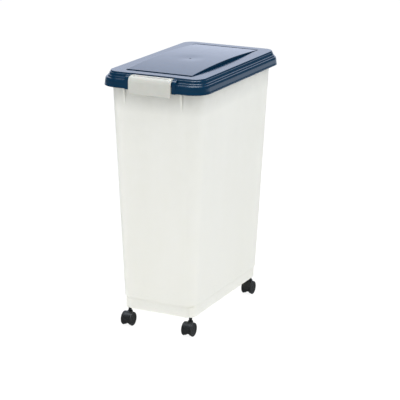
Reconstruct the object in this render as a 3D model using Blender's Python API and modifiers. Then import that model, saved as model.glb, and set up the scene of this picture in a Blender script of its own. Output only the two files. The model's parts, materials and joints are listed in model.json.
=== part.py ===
"""A rolling pet food bin: a tapered bin with a hinged lid, a pivoting front latch and four swivel casters.

Frame: +Z up, +X to the right, the latch faces -Y, and the origin is on the floor under the bin's centre.
Every dimension below is in millimetres; MM turns it into Blender's metres.
"""
import math

import bmesh
import bpy
from mathutils import Matrix, Vector

MM = 0.001
CORNER_STEPS = 6

# Overall size
WIDTH = 270.0
DEPTH = 460.0
BIN_HEIGHT = 595.0            # from the bin's own base to the lid's peak
FOOT_Z = 45.0                 # the casters lift the base this far off the floor
PEAK_Z = FOOT_Z + BIN_HEIGHT

# Bin body
WALL = 2.4
FOOT_HALF = (92.7, 184.3, 23.0)       # half width, half depth, corner radius
SHOULDER_HALF = (96.2, 188.0, 24.0)
TOP_HALF = (119.8, 213.5, 40.0)
FOOT_TOP_Z = 70.5
SHOULDER_Z = 75.0
FLANGE_Z = (607.0, 609.5)
LIP_Z = 600.0
LIP_OUT = 6.6                         # how far the lip stands out from the wall
LIP_THICK = 2.1
GUSSET_X = 74.0
GUSSET_THICK = 3.2
GUSSET_FOOT_Z = 553.0

# Caster sockets
CASTER_X = 81.8
CASTER_Y = 172.6
BOSS_R = 9.0
BOSS_TOP_Z = 70.0
BORE_R = 6.0
BORE_TOP_Z = 67.0
CASTER_CORNERS = {"front_left": (-1, -1), "front_right": (1, -1), "back_left": (-1, 1), "back_right": (1, 1)}

# Caster
WHEEL_R = 17.0
TREAD_R = 15.6
WHEEL_INNER_X = 5.5
WHEEL_WIDTH = 8.0
TRAIL = 8.0                           # the axle sits this far in front of the stem
HOOD_R = 17.4
HOOD_THICK = 1.2
HOOD_HALF_X = 10.1
WEB_HALF_X = 4.8
WEB_R = 11.5
HOOD_BOSS_R = 6.4
HOOD_BOSS_TOP_Z = 35.4
STEM_R = 4.0
STEM_TOP_Z = 65.0
AXLE_R = 2.0
FIT = 0.3                             # clearance between neighbouring pieces

# Lid
SKIRT_FRONT = 228.0
SKIRT_BACK = 228.0
LID_WALL = 2.4
SKIRT_Z = 597.4
RIM_Z = 631.5
LID_CORNER_R = 43.0
# Rings of the lid's outer face, from the hem up: inset at the sides, front and back, and height
LID_RINGS = (
    (0.0, 0.0, 0.0, SKIRT_Z),
    (1.1, 1.1, 1.1, 603.5),
    (1.6, 1.6, 1.6, 611.0),
    (3.2, 3.4, 3.2, 616.6),
    (5.4, 9.2, 6.8, 617.6),
    (6.6, 10.6, 8.0, 620.8),
    (8.9, 13.4, 10.4, 621.6),
    (10.6, 15.0, 12.1, 627.2),
    (11.9, 17.2, 13.4, 628.0),
    (12.7, 17.9, 14.2, 630.8),
    (15.4, 20.6, 17.0, RIM_Z),
)
PANEL_HALF_X = 85.0
PANEL_FRONT = 178.5
PANEL_BACK = 184.0
SEAL_HALF = (124.0, 215.3, 42.2)      # centre line of the seal
SEAL_Z = (609.8, 613.1)
SEAL_WIDTH = 4.0
LAND_WIDTH = 7.8
LAND_Z = 611.0

# Latch and its notch in the lid
NOTCH_HALF_X = 55.6
NOTCH_BACK_Y = -208.0
NOTCH_FLOOR_Z = 615.4
EAR_WIDTH = 10.0
EAR_Z = (595.6, 627.5)
LATCH_HALF_X = 54.8
LATCH_PIVOT = (-215.4, 622.8)         # y, z
LATCH_KNUCKLE_R = 6.8
LATCH_FRONT_Y = -DEPTH / 2
LATCH_SHOULDER_Z = 614.0
LATCH_BOTTOM_Z = 586.0
LATCH_PLATE = 2.6
LATCH_PIN_R = 2.5

# Hinge
HINGE_X = 70.0
HINGE_AXIS = (224.5, 592.0)           # y, z
KNUCKLE_R = 5.5
KNUCKLE_HALF = 8.8
EAR_INNER = 9.4
EAR_OUTER = 17.0
PIN_R = 2.5


def reset():
    """Empty the scene and return the part's collection and the cutters' collection."""
    for old in list(bpy.data.objects):
        bpy.data.objects.remove(old, do_unlink=True)
    collections = []
    for name in ("pet_food_bin", "cutters"):
        collection = bpy.data.collections.new(name)
        bpy.context.scene.collection.children.link(collection)
        collections.append(collection)
    return collections


def material(name, colour, roughness, metallic=0.0):
    mat = bpy.data.materials.new(name)
    mat.use_nodes = True
    shader = mat.node_tree.nodes["Principled BSDF"]
    shader.inputs["Base Color"].default_value = (*colour, 1.0)
    shader.inputs["Roughness"].default_value = roughness
    shader.inputs["Metallic"].default_value = metallic
    return mat


PART, CUTTERS = reset()
PEARL = material("pearl_pp", (0.86, 0.87, 0.84), 0.45)
NAVY = material("navy_pp", (0.02, 0.05, 0.11), 0.25)
WARM_GREY = material("warm_grey_pp", (0.62, 0.62, 0.57), 0.4)
BLACK = material("black_nylon", (0.03, 0.03, 0.035), 0.45)
STEEL = material("zinc_steel", (0.6, 0.6, 0.62), 0.3, 1.0)
RUBBER = material("seal_rubber", (0.35, 0.35, 0.35), 0.8)


def place(name, mesh, mat, smooth_deg=40.0):
    """Put a mesh in the part's collection as a named object, or among the cutters when it has no material."""
    obj = bpy.data.objects.new(name, mesh)
    if mat is None:
        CUTTERS.objects.link(obj)
        obj.hide_render = True
        obj.display_type = "WIRE"
        return obj
    PART.objects.link(obj)
    mesh.materials.append(mat)
    mesh.shade_smooth()
    mesh.set_sharp_from_angle(angle=math.radians(smooth_deg))
    return obj


def to_mesh(name, bm):
    bmesh.ops.recalc_face_normals(bm, faces=bm.faces)
    mesh = bpy.data.meshes.new(name)
    bm.to_mesh(mesh)
    bm.free()
    return mesh


def boolean(obj, other, operation):
    modifier = obj.modifiers.new(other.name, "BOOLEAN")
    modifier.operation = operation
    modifier.object = other


def add(obj, other):
    boolean(obj, other, "UNION")


def cut(obj, other):
    boolean(obj, other, "DIFFERENCE")


def outline(half_x, front, back, radius):
    """A rounded rectangle, anticlockwise: corner centres and quarter arcs of CORNER_STEPS steps."""
    points = []
    corners = ((1, -front, -90), (1, back, 0), (-1, back, 90), (-1, -front, 180))
    for side, y, start in corners:
        centre_x = side * (half_x - radius)
        centre_y = y - math.copysign(radius, y)
        for step in range(CORNER_STEPS + 1):
            angle = math.radians(start + 90.0 * step / CORNER_STEPS)
            points.append((centre_x + radius * math.cos(angle), centre_y + radius * math.sin(angle)))
    return points


def loft(name, rings, mat):
    """A closed solid through rings of equal point count, each (outline, z), capped at both ends."""
    bm = bmesh.new()
    loops = [[bm.verts.new((x * MM, y * MM, z * MM)) for x, y in points] for points, z in rings]
    count = len(loops[0])
    for low, high in zip(loops, loops[1:]):
        for i in range(count):
            j = (i + 1) % count
            bm.faces.new((low[i], low[j], high[j], high[i]))
    bm.faces.new(list(reversed(loops[0])))
    bm.faces.new(loops[-1])
    return place(name, to_mesh(name, bm), mat)


def prism(name, profile, x_from, x_to, mat=None):
    """A profile of (y, z) points pushed along X."""
    bm = bmesh.new()
    face = bm.faces.new([bm.verts.new((x_from * MM, y * MM, z * MM)) for y, z in profile])
    pushed = bmesh.ops.extrude_face_region(bm, geom=[face])
    moved = [v for v in pushed["geom"] if isinstance(v, bmesh.types.BMVert)]
    bmesh.ops.translate(bm, verts=moved, vec=((x_to - x_from) * MM, 0, 0))
    return place(name, to_mesh(name, bm), mat)


def box(name, low, high, mat=None):
    bm = bmesh.new()
    size = [(b - a) * MM for a, b in zip(low, high)]
    middle = [(a + b) / 2 * MM for a, b in zip(low, high)]
    bmesh.ops.create_cube(bm, size=1.0, matrix=Matrix.Translation(middle) @ Matrix.Diagonal((*size, 1.0)))
    return place(name, to_mesh(name, bm), mat)


def cylinder(name, radius, start, end, mat=None, segments=24):
    """A round bar between two points."""
    start, end = Vector(start) * MM, Vector(end) * MM
    turn = Vector((0, 0, 1)).rotation_difference(end - start).to_matrix().to_4x4()
    bm = bmesh.new()
    bmesh.ops.create_cone(
        bm, cap_ends=True, segments=segments, radius1=radius * MM, radius2=radius * MM,
        depth=(end - start).length, matrix=Matrix.Translation((start + end) / 2) @ turn)
    return place(name, to_mesh(name, bm), mat)


def turned(name, profile, mat, location=(0, 0, 0), axis="Z", segments=24, ring=False):
    """A turned piece. The profile of (radius, height) runs down the outer side; a ring's profile closes on
    itself. The height runs along the named axis."""
    bm = bmesh.new()
    verts = [bm.verts.new((r * MM, 0, z * MM)) for r, z in profile]
    for a, b in zip(verts, verts[1:]):
        bm.edges.new((a, b))
    if ring:
        bm.edges.new((verts[-1], verts[0]))
    mesh = bpy.data.meshes.new(name)
    bm.to_mesh(mesh)
    bm.free()
    obj = bpy.data.objects.new(name, mesh)
    PART.objects.link(obj)
    mesh.materials.append(mat)
    screw = obj.modifiers.new("turn", "SCREW")
    screw.steps = screw.render_steps = segments
    screw.use_merge_vertices = True
    screw.merge_threshold = 0.00001
    screw.use_smooth_shade = True
    obj.location = Vector(location) * MM
    obj.rotation_euler = {"Z": (0, 0, 0), "X": (0, math.pi / 2, 0), "-X": (0, -math.pi / 2, 0)}[axis]
    return obj


def arc(centre, radius, start, end, steps, radius_z=None):
    """Points (y, z) along an arc; the angles are in degrees, from +Y towards +Z."""
    radius_z = radius if radius_z is None else radius_z
    points = []
    for step in range(steps + 1):
        angle = math.radians(start + (end - start) * step / steps)
        points.append((centre[0] + radius * math.cos(angle), centre[1] + radius_z * math.sin(angle)))
    return points


def even(half, grow=0.0):
    """The outline of a (half width, half depth, radius) rectangle, grown outwards."""
    half_x, half_y, radius = half
    return outline(half_x + grow, half_y + grow, half_y + grow, radius + grow)


# Bin body -----------------------------------------------------------------------------------------------

def bin_shell():
    """The tapered wall, its recessed foot, the floor, and the flange with its down-turned lip."""
    rings = [
        (even(FOOT_HALF, -1.6), FOOT_Z),
        (even(FOOT_HALF, -0.3), FOOT_Z + 1.6),
        (even(FOOT_HALF), FOOT_TOP_Z),
        (even(SHOULDER_HALF), SHOULDER_Z),
        (even(TOP_HALF), FLANGE_Z[0]),
        (even(TOP_HALF, LIP_OUT - LIP_THICK), FLANGE_Z[0]),
        (even(TOP_HALF, LIP_OUT - LIP_THICK), LIP_Z),
        (even(TOP_HALF, LIP_OUT), LIP_Z),
        (even(TOP_HALF, LIP_OUT), FLANGE_Z[1] - 1.0),
        (even(TOP_HALF, LIP_OUT - 1.0), FLANGE_Z[1]),
        (even(TOP_HALF, -WALL), FLANGE_Z[1]),
        (even(SHOULDER_HALF, -WALL), SHOULDER_Z + 1.0),
        (even(FOOT_HALF, -WALL), FOOT_TOP_Z + 1.0),
        (even(FOOT_HALF, -WALL), FOOT_Z + WALL),
    ]
    return loft("bin_body", rings, PEARL)


def wall_y(z):
    """The outer face of the front or back wall at a height, as a distance from the middle."""
    t = (z - SHOULDER_Z) / (FLANGE_Z[0] - SHOULDER_Z)
    return SHOULDER_HALF[1] + (TOP_HALF[1] - SHOULDER_HALF[1]) * t


def bin_gussets(body):
    """Two fins under the lip on the front wall, proud at the top and running out to nothing below."""
    bury = WALL * 0.6
    fin_top = FLANGE_Z[0] + 1.0
    fin_front = -(TOP_HALF[1] + LIP_OUT - 1.0)
    profile = [
        (-wall_y(fin_top) + bury, fin_top), (fin_front, fin_top), (fin_front, LIP_Z + 1.0),
        (-wall_y(GUSSET_FOOT_Z), GUSSET_FOOT_Z), (-wall_y(GUSSET_FOOT_Z) + bury, GUSSET_FOOT_Z)]
    for side in (-1, 1):
        x = side * GUSSET_X
        add(body, prism(f"gusset_{side}", profile, x - GUSSET_THICK / 2, x + GUSSET_THICK / 2))


def hinge_ear_profile():
    """Outline (y, z) of one hinge ear: round at the pin, and widening to the wall."""
    y, z = HINGE_AXIS
    root = wall_y(z) - WALL * 0.6
    return [(root, z + 7.0), (root, z - 17.0)] + arc((y, z), KNUCKLE_R, -60, 90, 8)


def bin_hinges(body):
    profile = hinge_ear_profile()
    for side in (-1, 1):
        for inner, outer in ((EAR_INNER, EAR_OUTER), (-EAR_OUTER, -EAR_INNER)):
            x = side * HINGE_X
            add(body, prism(f"hinge_ear_{side}_{inner}", profile, x + inner, x + outer))
    for side in (-1, 1):
        x = side * HINGE_X
        reach = EAR_OUTER + 1.0
        cut(body, cylinder(f"hinge_hole_{side}", PIN_R + FIT, (x - reach, *HINGE_AXIS), (x + reach, *HINGE_AXIS)))


def bin_bosses(body):
    """Blind bosses in the corners of the floor that hold the caster sockets."""
    for name, (sx, sy) in CASTER_CORNERS.items():
        x, y = sx * CASTER_X, sy * CASTER_Y
        add(body, cylinder(f"boss_{name}", BOSS_R, (x, y, FOOT_Z + 0.8), (x, y, BOSS_TOP_Z)))
    for name, (sx, sy) in CASTER_CORNERS.items():
        x, y = sx * CASTER_X, sy * CASTER_Y
        cut(body, cylinder(f"boss_bore_{name}", BORE_R, (x, y, FOOT_Z - 2.0), (x, y, BORE_TOP_Z)))


def bin_body():
    body = bin_shell()
    bin_gussets(body)
    bin_bosses(body)
    bin_hinges(body)


# Lid ----------------------------------------------------------------------------------------------------

def lid_outline(side, front, back, shrink=0.0):
    radius = LID_CORNER_R - side * 1.2 - shrink
    return outline(WIDTH / 2 - side - shrink, SKIRT_FRONT - front - shrink, SKIRT_BACK - back - shrink, radius)


def lid_shell():
    """The stepped outer face from the hem to the rim, and a plainer inner face one wall inside it."""
    outer = [(lid_outline(side, front, back), z) for side, front, back, z in LID_RINGS]
    inner = [
        (lid_outline(0.0, 0.0, 0.0, LID_WALL), SKIRT_Z),
        (lid_outline(1.6, 1.6, 1.6, LID_WALL), 604.0),
        (lid_outline(1.6, 1.6, 1.6, LID_WALL), 613.6),
        (lid_outline(6.4, 9.6, 7.4, LID_WALL), 615.8),
        (lid_outline(9.2, 15.4, 10.8, LID_WALL), 618.6),
        (lid_outline(11.5, 18.5, 13.0, LID_WALL), 626.5),
        (lid_outline(15.4, 22.4, 17.0, LID_WALL), RIM_Z - LID_WALL),
    ]
    return loft("lid", list(reversed(outer)) + inner, NAVY)


def vault_profile(base_z, drop, trim):
    """A barrel vault's outline (y, z): level with base_z at its ends, peaking in the middle."""
    steps = 12
    front, back = -PANEL_FRONT + trim, PANEL_BACK - trim
    rise = PEAK_Z - RIM_Z
    points = []
    for step in range(steps + 1):
        t = step / steps
        points.append((front + (back - front) * t, RIM_Z + rise * 4 * t * (1 - t) - drop))
    return [(front, base_z)] + points + [(back, base_z)]


def lid_panel(lid):
    """The raised vault in the middle of the lid, hollow underneath."""
    add(lid, prism("vault", vault_profile(RIM_Z - 1.2, 0.0, 0.0), -PANEL_HALF_X, PANEL_HALF_X))
    inner_x = PANEL_HALF_X - LID_WALL
    cut(lid, prism("vault_inside", vault_profile(RIM_Z - 6.0, LID_WALL, 3 * LID_WALL), -inner_x, inner_x))


def ring_solid(name, half, width, low, high, mat=None):
    """A flat-sided ring along a rounded rectangle."""
    bm = bmesh.new()
    sections = ((width / 2, low), (width / 2, high), (-width / 2, high), (-width / 2, low))
    loops = [[bm.verts.new((x * MM, y * MM, z * MM)) for x, y in even(half, grow)] for grow, z in sections]
    count = len(loops[0])
    for low_loop, high_loop in zip(loops, loops[1:] + loops[:1]):
        for i in range(count):
            j = (i + 1) % count
            bm.faces.new((low_loop[i], low_loop[j], high_loop[j], high_loop[i]))
    return place(name, to_mesh(name, bm), mat)


def latch_notch(lid):
    """The recess for the latch: a floor and a back wall are added, and the notch is cut in front of them."""
    reach = NOTCH_HALF_X + EAR_WIDTH
    y_edge = -222.6
    ear_front = -SKIRT_FRONT + 0.6
    add(lid, box("notch_floor", (-reach, y_edge, LAND_Z), (reach, NOTCH_BACK_Y + 3.0, 618.0)))
    add(lid, box("notch_wall", (-reach, NOTCH_BACK_Y, 614.0), (reach, NOTCH_BACK_Y + LID_WALL, RIM_Z - 1.4)))
    for side in (-1, 1):
        low, high = sorted((side * (NOTCH_HALF_X - 1.0), side * reach))
        upper = [(NOTCH_BACK_Y + 1.0, 614.0), (NOTCH_BACK_Y + 1.0, EAR_Z[1] + 2.0)]
        upper += arc((ear_front + 14.0, EAR_Z[1] - 12.0), 14.0, 90, 180, 6, radius_z=13.0)
        upper += [(ear_front, 610.0), (y_edge, 610.0), (y_edge, 614.0)]
        add(lid, prism(f"ear_upper_{side}", upper, low, high))
        low, high = sorted((side * NOTCH_HALF_X, side * reach))
        add(lid, box(f"ear_lower_{side}", (low, ear_front, EAR_Z[0]), (high, -221.2, 612.0)))
    cut(lid, box("notch_front", (-NOTCH_HALF_X, -240.0, 590.0), (NOTCH_HALF_X, y_edge, 645.0)))
    cut(lid, box("notch_pocket", (-NOTCH_HALF_X, -240.0, NOTCH_FLOOR_Z), (NOTCH_HALF_X, NOTCH_BACK_Y, 645.0)))


def latch_holes(lid):
    """Blind holes in the ears for the latch's stubs."""
    for side in (-1, 1):
        inner = (side * (NOTCH_HALF_X - 2.0), *LATCH_PIVOT)
        outer = (side * (NOTCH_HALF_X + 5.5), *LATCH_PIVOT)
        cut(lid, cylinder(f"latch_hole_{side}", LATCH_PIN_R + FIT, inner, outer, segments=20))


def lid_hinges(lid):
    """Two knuckles hanging from the back hem, each joined to it by a short web."""
    y, z = HINGE_AXIS
    for side in (-1, 1):
        x = side * HINGE_X
        low, high = x - KNUCKLE_HALF, x + KNUCKLE_HALF
        add(lid, box(f"knuckle_web_{side}", (low, y + 0.6, z + 1.0), (high, SKIRT_BACK - 0.4, SKIRT_Z + 3.0)))
        add(lid, cylinder(f"knuckle_{side}", KNUCKLE_R, (low, y, z), (high, y, z)))
    for side in (-1, 1):
        x = side * HINGE_X
        reach = KNUCKLE_HALF + 1.0
        cut(lid, cylinder(f"knuckle_hole_{side}", PIN_R + FIT, (x - reach, y, z), (x + reach, y, z)))


def lid():
    shell = lid_shell()
    lid_panel(shell)
    add(shell, ring_solid("seal_land", SEAL_HALF, LAND_WIDTH, LAND_Z, 617.2))
    latch_notch(shell)
    cut(shell, ring_solid("seal_groove", SEAL_HALF, SEAL_WIDTH + 2 * FIT, LAND_Z - 1.0, SEAL_Z[1] + FIT))
    lid_hinges(shell)
    latch_holes(shell)


# Latch --------------------------------------------------------------------------------------------------

def latch_profile():
    """Outline (y, z) of the latch: a round knuckle, a domed top, the front plate, and the hook inside it."""
    y, z = LATCH_PIVOT
    inside = LATCH_FRONT_Y + LATCH_PLATE
    hook_z = LIP_Z - 0.7
    points = arc((y, z), LATCH_KNUCKLE_R, -90, 90, 10)
    dome = (z + LATCH_KNUCKLE_R - LATCH_SHOULDER_Z)
    points += arc((y, LATCH_SHOULDER_Z), y - LATCH_FRONT_Y, 90, 180, 8, radius_z=dome)[1:]
    points += [(LATCH_FRONT_Y, LATCH_BOTTOM_Z + 1.0), (LATCH_FRONT_Y + 1.0, LATCH_BOTTOM_Z)]
    points += [(inside, LATCH_BOTTOM_Z), (inside, hook_z - 5.5)]
    points += [(-219.2, hook_z - 1.8), (-218.4, hook_z - 0.9), (-218.8, hook_z), (inside + 0.6, hook_z)]
    points += [(inside, hook_z + 2.0), (inside, LATCH_SHOULDER_Z - 2.0)]
    points += arc((inside + 4.0, LATCH_SHOULDER_Z - 2.0), 4.0, 180, 90, 3)[1:]
    return points


def latch():
    body = prism("latch", latch_profile(), -LATCH_HALF_X, LATCH_HALF_X, WARM_GREY)
    for side in (-1, 1):
        inner = (side * (LATCH_HALF_X - 4.0), *LATCH_PIVOT)
        outer = (side * (NOTCH_HALF_X + 4.8), *LATCH_PIVOT)
        add(body, cylinder(f"latch_stub_{side}", LATCH_PIN_R, inner, outer, segments=20))


def hinge_pins():
    """A headed steel pin through each pair of hinge ears."""
    reach = EAR_OUTER + 0.3
    profile = [(0, reach + 1.2), (3.4, reach + 1.2), (3.6, reach + 0.2), (PIN_R, reach), (PIN_R, -reach), (0, -reach)]
    for name, side, axis in (("left", -1, "-X"), ("right", 1, "X")):
        turned(f"hinge_pin_{name}", profile, STEEL, (side * HINGE_X, *HINGE_AXIS), axis, 20)


# Casters ------------------------------------------------------------------------------------------------

def hood_profile():
    """Outline (y, z) about the axle of the thin hood that covers the top of both wheels."""
    start, end = -32, 205
    inner = HOOD_R - HOOD_THICK
    return arc((0, 0), HOOD_R, start, end, 14) + arc((0, 0), inner, end, start, 14)


def web_profile():
    """Outline (y, z) about the axle of the web between the wheels: it fills the hood and is narrower below."""
    inner = HOOD_R - HOOD_THICK * 0.4
    return arc((0, 0), inner, -30, 203, 12) + arc((0, 0), WEB_R, 222, 310, 5)


def shifted(profile, y, z):
    return [(py + y, pz + z) for py, pz in profile]


def caster(name, x, y):
    """One twin-wheel caster: socket, stem, hood with its web, axle and two wheels."""
    axle_y, axle_z = y - TRAIL, WHEEL_R
    prefix = f"caster_{name}"
    turned(f"{prefix}_socket", [
        (BORE_R - FIT, FOOT_Z + 21.0), (BORE_R - FIT, FOOT_Z + 0.6), (STEM_R + FIT, FOOT_Z + 0.6),
        (STEM_R + FIT, FOOT_Z + 21.0)], BLACK, (x, y, 0), segments=20, ring=True)
    step_z = HOOD_BOSS_TOP_Z - 3.4
    turned(f"{prefix}_stem", [
        (0, STEM_TOP_Z), (STEM_R - 1.0, STEM_TOP_Z), (STEM_R, STEM_TOP_Z - 1.5), (STEM_R, step_z + 0.4),
        (STEM_R - 1.0, step_z + 0.4), (STEM_R - 1.0, 24.0), (0, 24.0)], BLACK, (x, y, 0), segments=20)

    hood = prism(f"{prefix}_hood", shifted(hood_profile(), axle_y, axle_z), x - HOOD_HALF_X, x + HOOD_HALF_X, BLACK)
    add(hood, prism(f"{prefix}_web", shifted(web_profile(), axle_y, axle_z), x - WEB_HALF_X, x + WEB_HALF_X))
    low, high = (x - WEB_HALF_X, y - 5.0, 23.0), (x + WEB_HALF_X, y + HOOD_BOSS_R - 1.0, HOOD_BOSS_TOP_Z - 2.0)
    add(hood, box(f"{prefix}_spine", low, high))
    add(hood, cylinder(f"{prefix}_boss", HOOD_BOSS_R, (x, y, 32.4), (x, y, HOOD_BOSS_TOP_Z), segments=20))
    cut(hood, cylinder(f"{prefix}_seat", STEM_R + FIT, (x, y, step_z), (x, y, 40.0), segments=20))
    cut(hood, cylinder(f"{prefix}_bore", STEM_R - 1.0 + FIT, (x, y, 23.6), (x, y, 40.0), segments=20))
    reach = WEB_HALF_X + 1.0
    cut(hood, cylinder(
        f"{prefix}_axle_hole", AXLE_R + FIT, (x - reach, axle_y, axle_z), (x + reach, axle_y, axle_z), segments=16))

    axle_half = WHEEL_INNER_X + WHEEL_WIDTH - 2.2
    cylinder(f"{prefix}_axle", AXLE_R, (x - axle_half, axle_y, axle_z), (x + axle_half, axle_y, axle_z), STEEL, 16)
    w = WHEEL_WIDTH
    tread_end = w - 3.0
    wheel = [
        (0, w - 0.9), (12.6, w - 0.9), (13.4, w), (WHEEL_R - 1.2, w), (WHEEL_R, w - 1.2), (WHEEL_R, tread_end + 0.5),
        (TREAD_R, tread_end), (TREAD_R, 0.8), (TREAD_R - 0.8, 0), (AXLE_R + FIT, 0),
        (AXLE_R + FIT, w - 1.9), (0, w - 1.9)]
    for side_name, side, axis in (("left", -1, "-X"), ("right", 1, "X")):
        turned(f"{prefix}_wheel_{side_name}", wheel, BLACK, (x + side * WHEEL_INNER_X, axle_y, axle_z), axis, 28)


def build():
    bin_body()
    lid()
    ring_solid("lid_gasket", SEAL_HALF, SEAL_WIDTH, *SEAL_Z, RUBBER)
    latch()
    hinge_pins()
    for name, (sx, sy) in CASTER_CORNERS.items():
        caster(name, sx * CASTER_X, sy * CASTER_Y)


build()
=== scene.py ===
"""The looks of the rolling pet food bin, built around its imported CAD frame.

Lengths are in millimetres unless a comment says otherwise; MM turns them into Blender's metres.
"""
import json
import math

import bmesh
import bpy
from mathutils import Matrix, Vector

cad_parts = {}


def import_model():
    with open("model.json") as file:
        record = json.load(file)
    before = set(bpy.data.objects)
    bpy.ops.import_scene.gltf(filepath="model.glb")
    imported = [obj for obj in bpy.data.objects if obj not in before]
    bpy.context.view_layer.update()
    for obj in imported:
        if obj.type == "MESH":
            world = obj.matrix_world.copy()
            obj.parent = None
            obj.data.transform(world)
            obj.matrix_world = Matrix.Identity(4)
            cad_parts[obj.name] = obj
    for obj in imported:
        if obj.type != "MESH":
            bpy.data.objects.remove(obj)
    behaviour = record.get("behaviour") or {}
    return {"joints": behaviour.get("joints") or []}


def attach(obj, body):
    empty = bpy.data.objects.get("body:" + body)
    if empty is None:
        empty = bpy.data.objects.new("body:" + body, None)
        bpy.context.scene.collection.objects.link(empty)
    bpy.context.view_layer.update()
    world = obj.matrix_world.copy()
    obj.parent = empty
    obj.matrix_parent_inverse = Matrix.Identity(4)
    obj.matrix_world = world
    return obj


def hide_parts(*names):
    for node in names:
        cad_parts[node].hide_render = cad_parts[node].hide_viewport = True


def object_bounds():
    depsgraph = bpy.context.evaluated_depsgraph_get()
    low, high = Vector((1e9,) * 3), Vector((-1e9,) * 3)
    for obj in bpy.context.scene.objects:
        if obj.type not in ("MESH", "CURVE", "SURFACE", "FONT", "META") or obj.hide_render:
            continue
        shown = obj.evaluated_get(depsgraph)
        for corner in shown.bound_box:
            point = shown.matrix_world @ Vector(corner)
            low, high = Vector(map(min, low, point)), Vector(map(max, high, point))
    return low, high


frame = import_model()
CAD_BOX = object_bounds()

MM = 0.001
CORNER_STEPS = 18
SHARP_DEG, CRISP_DEG = 38.0, 32.0


def to_mm(metres):
    """A length from the frame, to the 0.1 mm that the CAD's dimensions are given in."""
    return round(metres / MM, 1)


# Driving dimensions that the frame gives ------------------------------------------------------------------

JOINTS = {joint["name"]: tuple(to_mm(value) for value in joint["pos_m"]) for joint in frame["joints"]}
HINGE_AXIS = JOINTS["lid_hinge"][1:]                # y, z
LATCH_PIVOT = JOINTS["latch_pivot"][1:]             # y, z
LATCH_FRONT_Y = to_mm(CAD_BOX[0][1])
LID_HALF_X = to_mm(CAD_BOX[1][0])

# Driving dimensions of the finer shapes, which keep to the CAD's outlines ----------------------------------

CORNERS = ("front_left", "front_right", "back_left", "back_right")
SIDES = (("left", -1), ("right", 1))

# Half width, half depth and corner radius of the body
FOOT = (92.7, 184.3, 23.0)
SHOULDER = (96.2, 188.0, 24.0)
TOP = (119.8, 213.5, 40.0)
WALL = 2.4
FOOT_Z, FOOT_TOP_Z, SHOULDER_Z = 45.0, 70.5, 75.0
LIP_Z, FLANGE_Z, RIM_TOP_Z = 600.0, 607.0, 609.5
LIP_OUT, LIP_THICK = 6.6, 2.1
FIN_X, FIN_HALF, FIN_FOOT_Z = 74.0, 3.0, 553.0
BURY = WALL * 0.6                                   # how deep an added part starts inside the wall

HINGE_X, HINGE_KNUCKLE_R, HINGE_KNUCKLE_HALF = 70.0, 5.5, 8.8
HINGE_EAR_IN, HINGE_EAR_OUT = 9.4, 17.0
PIN_R, PIN_HOLE_R = 2.5, 2.8

LID_END_Y, LID_CORNER_R, HEM_Z, LID_RIM_Z = 228.0, 43.0, 597.4, 631.5
PANEL = (85.0, 178.5, 184.0)                        # half width, reach to the front, reach to the back
VAULT_STEP, VAULT_RISE = 1.6, 6.1
SEAL = (124.0, 215.3, 42.2)                         # half width, half depth and corner radius of its line
NOTCH_X, NOTCH_BACK_Y, NOTCH_FRONT_Y, NOTCH_FLOOR_Z = 55.6, -208.0, -222.6, 615.4
NOTCH_EAR_WIDTH, NOTCH_EAR_FRONT_Y, NOTCH_EAR_FOOT_Z = 10.0, -227.4, 595.6
LATCH_X, LATCH_PLATE, LATCH_SHOULDER_Z, LATCH_FOOT_Z = 54.8, 2.6, 614.0, 586.0
LATCH_KNUCKLE_R = 6.8

SOCKET_BOSS_R, SOCKET_BOSS_TOP_Z, SOCKET_BORE_R, SOCKET_BORE_TOP_Z = 9.0, 70.0, 6.0, 67.0
HOOD_R, HOOD_IN_R, HOOD_HALF_X, HOOD_WEB_HALF_X = 17.4, 16.3, 10.1, 4.8
STEM_SEAT_R, STEM_BORE_R, STEM_BORE_Z, AXLE_HOLE_R = 4.3, 3.3, 23.6, 2.3
WHEEL_INNER_X = 5.5


# Mesh helpers -------------------------------------------------------------------------------------------

def outline(half_x, front, back, radius, steps=CORNER_STEPS):
    """A rounded rectangle of (x, y) points, anticlockwise from the front right corner."""
    points = []
    for side, y, start in ((1, -front, -90), (1, back, 0), (-1, back, 90), (-1, -front, 180)):
        centre_x, centre_y = side * (half_x - radius), y - math.copysign(radius, y)
        for step in range(steps + 1):
            angle = math.radians(start + 90 * step / steps)
            points.append((centre_x + radius * math.cos(angle), centre_y + radius * math.sin(angle)))
    return points


def soften(path, reaches, steps=4):
    """Round each inner corner of a path of number tuples, from its reach before it to its reach after it."""
    longest = 0.48                                  # as a share of an edge, so that two curves never meet
    softened = [path[0]]
    for before, corner, after, reach in zip(path, path[1:], path[2:], reaches):
        back = min(reach / math.dist(before, corner), longest)
        ahead = min(reach / math.dist(after, corner), longest)
        start = [c + (b - c) * back for b, c in zip(before, corner)]
        end = [c + (a - c) * ahead for a, c in zip(after, corner)]
        for step in range(steps + 1):
            t = step / steps
            softened.append(tuple(
                s * (1 - t) ** 2 + 2 * c * t * (1 - t) + e * t * t for s, c, e in zip(start, corner, end)))
    softened.append(path[-1])
    return softened


def arc(centre, radius, start, end, steps, radius_z=None):
    """Points along a circle, or along an ellipse where radius_z is given, between two angles in degrees."""
    radius_z = radius if radius_z is None else radius_z
    angles = [math.radians(start + (end - start) * step / steps) for step in range(steps + 1)]
    return [(centre[0] + radius * math.cos(a), centre[1] + radius_z * math.sin(a)) for a in angles]


def shade(mesh, sharp_deg):
    mesh.shade_smooth()
    mesh.set_sharp_from_angle(angle=math.radians(sharp_deg))


def new_object(name, bm):
    bmesh.ops.recalc_face_normals(bm, faces=bm.faces)
    mesh = bpy.data.meshes.new(name)
    bm.to_mesh(mesh)
    bm.free()
    shade(mesh, SHARP_DEG)
    obj = bpy.data.objects.new(name, mesh)
    bpy.context.scene.collection.objects.link(obj)
    return obj


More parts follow.
